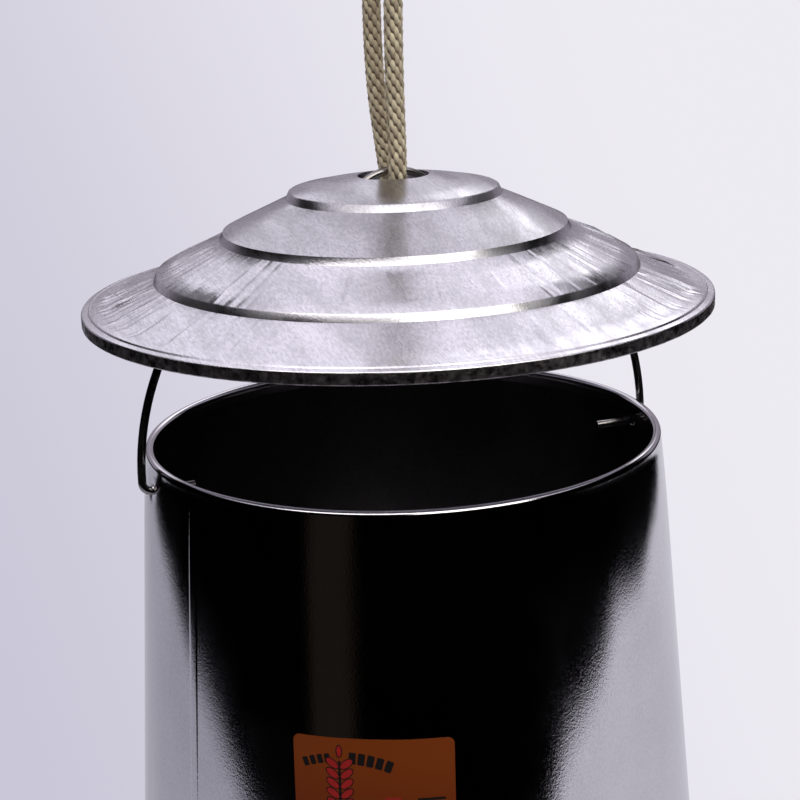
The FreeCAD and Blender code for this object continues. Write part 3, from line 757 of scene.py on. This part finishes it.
def makeCover(s):
    outer = subdivided(coverProfile(s), 5.2)
    thin = [p for i, p in enumerate(insideLine(outer, -s["sheet"])) if i % 3 == 0]
    thin = [p for p in thin if p[0] < s["radius"] - s["hemThick"] - 2.5]
    inside = s["radius"] - s["hemThick"]
    fold = [(s["radius"] - 0.6, 0.0), (inside, 0.5), (inside, s["hem"] - 1.4)]
    wrinkles = coverWrinkles(s)
    rng = np.random.default_rng(s["dentSeed"])
    dents = [
        (rng.uniform(0, fullTurn), rng.uniform(2, 6), rng.normal(0, 0.1))
        for _ in range(s["dents"])
    ]
    angles = evenAngles(s["columns"])

    def shift(angles, radius, height):
        up = np.zeros(len(angles))
        out = np.zeros(len(angles))
        for start, end, angle, width, depth, peak, spread, slant in wrinkles:
            share = (radius - start) / (end - start)
            if not 0.02 < share < 0.98:
                continue
            envelope = math.exp(-(((share - peak) / spread) ** 2))
            envelope *= math.sin(math.pi * share) ** 0.5
            away = awayFrom(angles - angle, slant * (share - 0.5))
            up += depth * envelope * np.exp(-((away / width) ** 2))
        if height < s["hem"]:
            fade = math.sin(math.pi * min(1.0, height / s["hem"]))
            for angle, width, depth in dents:
                away = awayFrom(angles, angle)
                out += depth * fade * np.exp(-((away * radius / width) ** 2))
        return out, up

    loop = outer + fold + thin[::-1]
    hemmed = [
        int(max(p[1], q[1]) < s["hem"] - 0.4 and p[0] > s["radius"] - 2)
        for p, q in zip(loop, loop[1:])
    ]
    cover = turnedMesh(
        "cover_shell", loop, angles, coverLow.z, shift, [coverZinc, hemZinc], finish=hemmed + [0]
    )
    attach(cover, "cover")
    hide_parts("cover")


makeCover(coverSetup)
print("cover pressed")


# ---------- hopper
hopperSetup = {
    "height": (hopperHigh.z - hopperLow.z) / mm,
    "skirtRadius": 150.0,
    "topRadius": 131.0,
    "skirtHeight": 60.0,
    "sheet": 0.6,
    "bead": 2.2,
    "neck": 3.5,
    "inset": 0.9,
    "drawIn": 40.0,
    "columns": 576,
    "seamAngle": 201.0,
    "seamWidth": 6.4,
    "seamProud": 0.2,
    "seamEdge": 1.1,
    "earDrop": 14.0,
    "earDent": 0.55,
    "earDentWidth": 4.5,
    "rippleSeed": 7,
}


def wallRadius(height):
    # the taper, drawn in a little over the last stretch so that it meets the bead
    s = hopperSetup
    neckHeight = s["height"] - s["bead"] - s["neck"]
    share = (height - s["skirtHeight"]) / (neckHeight - s["skirtHeight"])
    drawn = max(0.0, height - s["height"] + s["drawIn"]) / s["drawIn"]
    taper = s["skirtRadius"] + (s["topRadius"] - s["skirtRadius"]) * max(0.0, share)
    return taper - s["inset"] * drawn**2


hopperRng = np.random.default_rng(hopperSetup["rippleSeed"])
hopperRipples = [
    (
        n,
        hopperRng.uniform(0, fullTurn),
        hopperRng.normal(0, 1) * 0.3 / n**0.9,
        hopperRng.uniform(-1, 1),
    )
    for n in range(3, 30)
]


def hopperShift(angles, radius, height):
    s = hopperSetup
    out = np.zeros(len(angles))
    top = s["height"] - s["bead"] - s["neck"]
    fade = min(1.0, max(0.0, (top - height) / 25)) * min(1.0, (height + 12) / 25)
    for n, phase, depth, drift in hopperRipples:
        out += depth * fade * np.sin(n * angles + phase + drift * height / 120)
    away = awayFrom(angles, math.radians(s["seamAngle"]))
    across = np.abs(away) * radius
    edge = np.clip((s["seamWidth"] / 2 - across) / s["seamEdge"], 0, 1)
    seamFade = min(1.0, max(0.0, (top - height) / 6))
    out += s["seamProud"] * seamFade * edge * edge * (3 - 2 * edge)
    ear = s["height"] - s["earDrop"]
    for side in (0.0, math.pi):
        away = awayFrom(angles, side)
        distance = (away * radius) ** 2 + (height - ear) ** 2
        out -= s["earDent"] * np.exp(-distance / s["earDentWidth"] ** 2)
    return out, np.zeros(len(angles))


def curl(centreRadius, centreHeight, radius, start, end, steps):
    arc = []
    for k in range(steps + 1):
        a = math.radians(start + (end - start) * k / steps)
        arc.append((centreRadius + radius * math.cos(a), centreHeight + radius * math.sin(a)))
    return arc


def makeHopper(s):
    beadHeight = s["height"] - s["bead"]
    neckHeight = beadHeight - s["neck"]
    beadCentre = s["topRadius"] - s["inset"] - s["bead"]
    ear = s["height"] - s["earDrop"]
    bend = s["height"] - s["drawIn"]
    wall = roundedProfile(
        [
            (s["skirtRadius"], 0.0, 0),
            (s["skirtRadius"], s["skirtHeight"], 20.0),
            (wallRadius(bend), bend, 0),
        ]
    )
    wall += [(wallRadius(h), h) for h in np.linspace(bend, beadHeight - 0.8, 12)[1:]]
    wall = subdivided(wall, 9.0)
    extra = [(wallRadius(ear + dz), ear + dz) for dz in (-8, -6, -4.5, -3, -1.5, 0, 1.5, 3, 4.5)]
    lower = [p for p in wall if p[1] < ear - 9]
    upper = [p for p in wall if p[1] > neckHeight - 2.0]
    outer = lower + extra + upper
    outerCurl = curl(beadCentre, beadHeight, s["bead"], 0, 300, 20)
    innerCurl = curl(beadCentre, beadHeight, s["bead"] - s["sheet"], 300, 0, 14)
    inside = [(p[0] - s["sheet"], p[1]) for p in outer[::-1][2:]]
    loop = outer + outerCurl + innerCurl + inside
    angles = evenAngles(s["columns"])
    seam = math.radians(s["seamAngle"])
    # a few more columns over each edge of the seam
    fine = [
        seam + side * (s["seamWidth"] / 2 - k * 0.23) / 140
        for side in (-1, 1)
        for k in range(-1, 5)
    ]
    angles = np.unique(np.round(np.concatenate([angles, fine]), 6))
    # the inside faces get the darker zinc that paints the shade inside the hopper
    interiorShadeFaces = [int(k >= len(loop) - len(inside)) for k in range(len(loop))]
    hopper = turnedMesh(
        "hopper_shell", loop, angles, hopperLow.z, hopperShift, [hopperZinc, interiorShadeZinc], finish=interiorShadeFaces
    )
    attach(hopper, "hopper")
    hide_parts("hopper_tube")


makeHopper(hopperSetup)
print("hopper rolled")


# ---------- lips of the two ear holes, punched outwards round the bail's ends
earSetup = {"holeRadius": 2.5, "lipRadius": 0.5, "segments": 32, "rings": 10}


def makeEars(s):
    h = hopperSetup
    ear = h["height"] - h["earDrop"]
    points, faces = [], []
    for side in (1, -1):
        base = wallRadius(ear) - 0.5
        start = len(points)
        for i in range(s["segments"]):
            a = fullTurn * i / s["segments"]
            for j in range(s["rings"]):
                b = fullTurn * j / s["rings"]
                r = s["holeRadius"] + s["lipRadius"] * (1 + math.cos(b))
                x = side * (base + s["lipRadius"] * math.sin(b))
                z = hopperLow.z / mm + ear + r * math.sin(a)
                points.append((x * mm, r * math.cos(a) * mm, z * mm))
        for i in range(s["segments"]):
            for j in range(s["rings"]):
                ring = s["rings"]
                a, b = start + i * ring + j, start + ((i + 1) % s["segments"]) * ring + j
                c = start + ((i + 1) % s["segments"]) * ring + (j + 1) % ring
                d = start + i * ring + (j + 1) % ring
                faces.append((a, b, c, d))
    ears = finishMesh(meshObject("ear_lips", points, faces, [hopperZinc]))
    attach(ears, "hopper")


makeEars(earSetup)


# ---------- label with plain artwork, wrapped on the wall
labelSetup = {
    "angle": 242.0,
    "top": 105.5,
    "width": 75.0,
    "height": 50.0,
    "corner": 3.2,
    "proud": 0.16,
    "inkProud": 0.05,
}


def labelMaterial():
    film = {"Roughness": 0.32, "Coat Weight": 0.12, "Coat Roughness": 0.1}
    film["Specular IOR Level"] = 0.25
    material, tree, shader = newMaterial("labelFilm", film)
    place = objectCoords(tree)
    z = addNode(tree, "ShaderNodeSeparateXYZ", {0: place}).outputs["Z"]
    low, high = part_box("front_label")
    mottle = noise(tree, place, 160.0, 3.0)
    share = total(tree, rampTo(tree, z, low.z, high.z), product(tree, mottle, 0.12))
    colour = mixed(tree, share, (0.155, 0.024, 0.005), (0.21, 0.043, 0.007, 1.0))
    tree.links.new(colour, shader.inputs["Base Color"])
    return material


def inkMaterial(name, colour):
    values = {"Roughness": 0.4, "Specular IOR Level": 0.12}
    material, tree, shader = newMaterial(name, values)
    tone = rampTo(tree, noise(tree, objectCoords(tree), 900.0, 2.0), 0.2, 0.8, 0.8, 1.1)
    ink = mixed(tree, 1.0, colour, tone, "MULTIPLY")
    tree.links.new(ink, shader.inputs["Base Color"])
    return material


labelFilm = labelMaterial()
inkBlack = inkMaterial("inkBlack", (0.012, 0.01, 0.01))
inkRed = inkMaterial("inkRed", (0.36, 0.02, 0.02))


def onWall(x, y, proud):
    # x to the right and y up from the label's middle, in mm
    s = labelSetup
    height = hopperSetup["height"] - s["top"] - s["height"] / 2 + y
    radius = wallRadius(height)
    angle = math.radians(s["angle"]) + x / radius
    out, _ = hopperShift(np.array([angle]), radius, height)
    r = radius + float(out[0]) + proud
    return (r * math.cos(angle) * mm, r * math.sin(angle) * mm, hopperLow.z + height * mm)


def patch(points, faces, middle, size, corner, proud, turn=0.0, cells=None):
    # a rounded rectangle or, with corner None, an ellipse, as a closed film on the wall
    across = cells or max(8, round(size[0] / 1.6))
    down = max(4, round(size[1] / 3))
    half = (size[0] / 2, size[1] / 2)
    columns = []
    for i in range(across + 1):
        x = -half[0] * math.cos(math.pi * i / across)
        if corner is None:
            reach = half[1] * math.sqrt(max(0.0, 1 - (x / half[0]) ** 2))
        else:
            over = max(0.0, abs(x) - (half[0] - corner))
            reach = half[1] - corner + math.sqrt(max(0.0, corner**2 - over**2))
        reach = max(reach, 0.02)
        columns.append([(x, reach * (2 * j / down - 1)) for j in range(down + 1)])
    c, n = math.cos(turn), math.sin(turn)
    start = len(points)
    for level in (proud, proud - 0.04):
        for column in columns:
            for x, y in column:
                place = (middle[0] + x * c - y * n, middle[1] + x * n + y * c)
                points.append(onWall(*place, level))
    rows = down + 1
    layer = (across + 1) * rows
    for i in range(across):
        for j in range(down):
            a = start + i * rows + j
            faces.append((a, a + rows, a + rows + 1, a + 1))
            b = a + layer
            faces.append((b + 1, b + rows + 1, b + rows, b))
    rim = [(i, 0) for i in range(across)] + [(across, j) for j in range(down)]
    rim += [(i, down) for i in range(across, 0, -1)] + [(0, j) for j in range(down, 0, -1)]
    for (i0, j0), (i1, j1) in zip(rim, rim[1:] + rim[:1]):
        a, b = start + i0 * rows + j0, start + i1 * rows + j1
        faces.append((b, a, a + layer, b + layer))


def makeLabel(s):
    points, faces = [], []
    patch(points, faces, (0, 0), (s["width"], s["height"]), s["corner"], s["proud"])
    film = finishMesh(meshObject("label_film", points, faces, [labelFilm]))
    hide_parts("front_label")
    ink = s["proud"] + s["inkProud"]
    black, red = ([], []), ([], [])
    # a banner of plain blocks, bowed over the ear of grain, and two short rules
    for x in (-31.5, -28.1, -24.6, -21.2, -9.4, -5.2, -1.0, 3.2, 7.4):
        bow = -math.radians(1.05 * (x + 12.5))
        size = (2.6, 4.4) if x < -12 else (3.3, 5.6)
        patch(*black, (x, 15.6 - 0.0092 * (x + 12.5) ** 2), size, 0.5, ink, turn=bow)
    for x, y, width in ((26.5, -4.0, 13.0), (24.0, -6.6, 18.0)):
        patch(*black, (x, y), (width, 1.2), 0.4, ink)
    # an ear of grain: a stem and pairs of kernels
    patch(*black, (-15.5, -3.0), (1.2, 34.0), 0.5, ink, cells=8)
    for k in range(6):
        for side in (-1, 1):
            middle = (-15.5 + side * 3.3, 12.6 - k * 4.8)
            turn = side * math.radians(-52)
            patch(*black, middle, (4.0, 7.8), None, ink, turn=turn)
            patch(*red, middle, (3.1, 6.7), None, ink + 0.03, turn=turn)
    patch(*black, (-15.5, 18.6), (3.2, 6.4), None, ink)
    patch(*red, (-15.5, 18.6), (2.2, 5.2), None, ink + 0.03)
    for k in range(3):
        patch(*red, (9.0 - k * 0.6, -3.4 - 1.7 * k), (8.0, 0.8), 0.3, ink)
    prints = [finishMesh(meshObject("label_ink_black", *black, [inkBlack]))]
    prints.append(finishMesh(meshObject("label_ink_red", *red, [inkRed])))
    for piece in [film] + prints:
        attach(piece, "hopper")


makeLabel(labelSetup)
print("label printed")


# ---------- feed pan and feed cone
panSetup = {
    "radius": 209.5,
    "height": (panHigh.z - panLow.z) / mm,
    "bead": 3.0,
    "sheet": 0.6,
    "flare": 20.0,
    "foot": 16.0,
    "footHeight": 3.0,
    "columns": 384,
}


def makePan(s):
    rim = s["radius"] - s["bead"]
    top = s["height"] - s["bead"]
    toe = rim - s["flare"]
    heel = toe - s["foot"]
    under = roundedProfile(
        [
            (0.0, s["footHeight"], 0),
            (heel - s["footHeight"], s["footHeight"], 2.0),
            (heel, 0.0, 2.0),
            (toe, 0.0, 4.0),
            (rim + s["bead"] * 0.9, top - 2.0, 0),
        ],
        steps=6,
    )
    under = subdivided(under, 16.0)
    outerCurl = curl(rim, top, s["bead"], 0, 290, 18)
    innerCurl = curl(rim, top, s["bead"] - s["sheet"], 290, 130, 8)
    over = roundedProfile(
        [
            (rim - s["sheet"] + 2.0, top - 1.2, 0),
            (toe - s["sheet"] * 0.7, s["sheet"], 3.4),
            (heel + s["sheet"] * 0.3, s["sheet"], 2.0),
            (heel - s["footHeight"] + s["sheet"] * 0.3, s["footHeight"] + s["sheet"], 2.6),
            (0.0, s["footHeight"] + s["sheet"], 0),
        ],
        steps=6,
    )
    over = subdivided(over, 16.0)
    angles = evenAngles(s["columns"])
    loop = under + outerCurl + innerCurl + over
    pan = turnedMesh("pan_dish", loop, angles, panLow.z, None, [panZinc], closed=False)
    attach(pan, "pan")
    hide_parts("feed_pan")


coneSetup = {"radius": 110.0, "flange": 12.0, "tip": 9.0, "sheet": 0.6, "columns": 256}


def makeCone(s):
    height = (coneHigh.z - coneLow.z) / mm
    brow = s["radius"] - s["flange"]
    outer = roundedProfile(
        [
            (s["radius"], 0.0, 0),
            (s["radius"], s["sheet"], 0),
            (brow, s["sheet"], 2.0),
            (s["tip"], height - 2 * s["sheet"], 3.0),
            (0.0, height, 0),
        ],
        steps=6,
    )
    outer = subdivided(outer, 12.0)
    inner = [(0.0, height - 2.0), (s["tip"] - 1.2, height - 2.2), (brow - 1.0, 0.0)]
    angles = evenAngles(s["columns"])
    cone = turnedMesh("cone_hat", outer + inner, angles, coneLow.z, None, [panZinc])
    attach(cone, "pan")
    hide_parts("feed_cone")


makePan(panSetup)
makeCone(coneSetup)
print("pan and cone made")


# ---------- rivets, set out by one node tree
rivetSetup = {"Head Radius": 0.004, "Head Height": 0.0016}


def makeRivetTree():
    tree, given, out = newGeometryTree(
        "rivetSet", ("Head Radius", "Head Height", "Grip"), ("Material",)
    )
    ball = firstOut(tree, "GeometryNodeMeshUVSphere", {"Segments": 24, "Rings": 12, "Radius": 1.0})
    sides = {"X": given["Head Radius"], "Y": given["Head Radius"], "Z": given["Head Height"]}
    size = firstOut(tree, "ShaderNodeCombineXYZ", sides)
    head = firstOut(tree, "GeometryNodeTransform", {"Geometry": ball, "Scale": size})
    below = firstOut(tree, "ShaderNodeCombineXYZ", {"Z": product(tree, given["Grip"], -1.0)})
    tail = firstOut(tree, "GeometryNodeTransform", {"Geometry": head, "Translation": below})
    both = addNode(tree, "GeometryNodeJoinGeometry")
    tree.links.new(head, both.inputs[0])
    tree.links.new(tail, both.inputs[0])
    spots = firstOut(tree, "GeometryNodeMeshToPoints", {"Mesh": given["Geometry"]})
    placed = {"Points": spots, "Instance": both.outputs[0]}
    made = firstOut(tree, "GeometryNodeInstanceOnPoints", placed)
    made = firstOut(tree, "GeometryNodeRealizeInstances", {"Geometry": made})
    made = firstOut(tree, "GeometryNodeSetShadeSmooth", {"Geometry": made})
    finish = {"Geometry": made, "Material": given["Material"]}
    tree.links.new(firstOut(tree, "GeometryNodeSetMaterial", finish), out.inputs[0])
    return tree


rivetTree = makeRivetTree()


def rivetSpots(node):
    # the middle of each loose solid of a CAD node, seen from above
    work = bmesh.new()
    work.from_mesh(nodes[node].data)
    bmesh.ops.remove_doubles(work, verts=work.verts, dist=1e-6)
    left, spots = set(work.verts), []
    while left:
        group, edge = set(), [left.pop()]
        while edge:
            vertex = edge.pop()
            group.add(vertex)
            for other in vertex.link_edges:
                far = other.other_vert(vertex)
                if far in left:
                    left.remove(far)
                    edge.append(far)
        low = [min(v.co[i] for v in group) for i in range(3)]
        high = [max(v.co[i] for v in group) for i in range(3)]
        spots.append(tuple((low[i] + high[i]) / 2 for i in range(2)) + (high[2],))
    work.free()
    return sorted(spots)


def makeRivets(name, node, s):
    low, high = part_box(node)
    domed = [(x, y, z - s["Head Height"]) for x, y, z in rivetSpots(node)]
    grip = high.z - low.z - 2 * s["Head Height"]
    values = {**s, "Grip": grip, "Material": hardwareZinc}
    rivets = builtMesh(name, domed, [], rivetTree, values)
    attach(rivets, "pan")
    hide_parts(node)


makeRivets("bracket_rivet_heads", "bracket_rivets", rivetSetup)
makeRivets("cone_rivet_heads", "cone_rivets", rivetSetup)
print("rivets set")


# ---------- CAD nodes that keep their own shape get their finish
def dress(node, material):
    mesh = nodes[node].data
    mesh.materials.clear()
    mesh.materials.append(material)


dress("bail", wireZinc)
dress("ceiling_plate", hardwareZinc)
dress("ceiling_hook", hardwareZinc)
for number in (1, 2, 3):
    dress(f"hanger_bracket_{number}", panZinc)
    dress(f"carriage_bolt_{number}", hardwareZinc)
    dress(f"bolt_washer_{number}", hardwareZinc)
    dress(f"wing_nut_{number}", hardwareZinc)
print("frame dressed")


# ---------- pale floor and soft studio light
studioSetup = {
    "floorDrop": 0.17,
    # corners of the bright table: to the right of the camera's axis, towards the camera, fillet
    "floor": [
        (-1.42, -4.0, 0.0),
        (-1.36, 0.62, 1.1),
        (1.05, 0.66, 0.35),
        (1.58, -0.05, 0.35),
        (1.18, -1.4, 0.3),
        (1.18, -4.0, 0.0),
    ],
    "seenLeft": (0.585, 0.565, 0.68),
    "seenRight": (0.85, 0.83, 0.89),
    "floorLeft": (0.44, 0.44, 0.5),
    "floorRight": (0.72, 0.71, 0.77),
    # each light: azimuth from the camera, half width, lowest and highest elevation, softness
    "lights": [
        (183.0, 27.0, 22.0, 43.0, 4.0, (1.0, 0.98, 1.06)),
        (161.0, 10.0, 25.0, 44.0, 3.0, (1.0, 1.0, 0.99)),
        (32.0, 26.0, 30.0, 42.0, 4.0, (3.8, 3.8, 3.4)),
        (180.0, 180.0, 50.0, 90.0, 10.0, (1.05, 1.02, 1.1)),
        (0.0, 70.0, 50.0, 70.0, 7.0, (1.7, 1.65, 1.5)),
        (180.0, 46.0, 2.0, 18.0, 8.0, (0.34, 0.31, 0.36)),
        (-32.0, 7.0, -30.0, -4.0, 4.0, (0.014, 0.011, 0.008)),
    ],
}


def acrossView(tree, direction):
    # how far to the right of the camera's axis
    a = math.radians(cameraSetup["azimuth"])
    return vectorCalc(tree, "DOT_PRODUCT", direction, (math.cos(a), math.sin(a), 0.0))


def makeWorld(s):
    world = bpy.data.worlds.new("studio")
    bpy.context.scene.world = world
    world.use_nodes = True
    tree = world.node_tree
    tree.nodes.clear()
    direction = addNode(tree, "ShaderNodeTexCoord").outputs["Generated"]
    up = addNode(tree, "ShaderNodeSeparateXYZ", {0: direction}).outputs["Z"]
    flat = vectorCalc(tree, "NORMALIZE", vectorCalc(tree, "MULTIPLY", direction, (1, 1, 0)))
    height = calc(tree, "ARCSINE", up)
    light = None
    for azimuth, width, low, high, soft, colour in s["lights"]:
        low, high, edge = math.radians(low), math.radians(high), math.radians(soft)
        bottom = rampTo(tree, height, low - edge, low)
        share = product(tree, bottom, rampTo(tree, height, high, high + edge, 1.0, 0.0))
        if width < 180.0:
            aim = sightLine(cameraSetup["azimuth"] + azimuth, 0.0)
            facing = vectorCalc(tree, "DOT_PRODUCT", flat, tuple(aim))
            outer, inner = math.radians(width + soft), math.radians(width)
            sides = rampTo(tree, facing, math.cos(outer), math.cos(inner))
            share = product(tree, share, sides)
        box = scaled(tree, colour, share)
        light = box if light is None else vectorCalc(tree, "ADD", light, box)
    climb = total(tree, acrossView(tree, direction), product(tree, up, 0.35))
    pale = mixed(tree, rampTo(tree, climb, -0.42, 0.12), s["seenLeft"], (*s["seenRight"], 1.0))
    glow = addNode(tree, "ShaderNodeBackground", {"Color": light, "Strength": 1.0})
    seen = addNode(tree, "ShaderNodeBackground", {"Color": pale, "Strength": 1.0})
    ray = addNode(tree, "ShaderNodeLightPath").outputs["Is Camera Ray"]
    mix = addNode(tree, "ShaderNodeMixShader", {0: ray, 1: glow.outputs[0], 2: seen.outputs[0]})
    out = addNode(tree, "ShaderNodeOutputWorld")
    tree.links.new(mix.outputs[0], out.inputs["Surface"])


def makeFloor(s):
    # a bright table that only the metal sees
    material = bpy.data.materials.new("floorPaper")
    material.use_nodes = True
    tree = material.node_tree
    tree.nodes.clear()
    seen = addNode(tree, "ShaderNodeBsdfTransparent")
    share = rampTo(tree, acrossView(tree, objectCoords(tree)), -1.3, 1.3)
    paper = mixed(tree, share, s["floorLeft"], (*s["floorRight"], 1.0))
    glow = addNode(tree, "ShaderNodeEmission", {"Color": paper})
    ray = addNode(tree, "ShaderNodeLightPath").outputs["Is Camera Ray"]
    mix = addNode(tree, "ShaderNodeMixShader", {0: ray, 1: glow.outputs[0], 2: seen.outputs[0]})
    out = addNode(tree, "ShaderNodeOutputMaterial")
    tree.links.new(mix.outputs[0], out.inputs["Surface"])
    front = sightLine(cameraSetup["azimuth"], 0.0)
    right = Vector((-front.y, front.x, 0.0))
    z = Vector((0, 0, panLow.z - s["floorDrop"]))
    outline = roundedProfile(s["floor"], steps=8)
    corners = [z + right * side + front * ahead for side, ahead in outline]
    floor = meshObject("floor", corners, [tuple(range(len(corners)))], [material])


makeWorld(studioSetup)
makeFloor(studioSetup)
bpy.context.scene.view_settings.view_transform = "Standard"
print("studio lit")
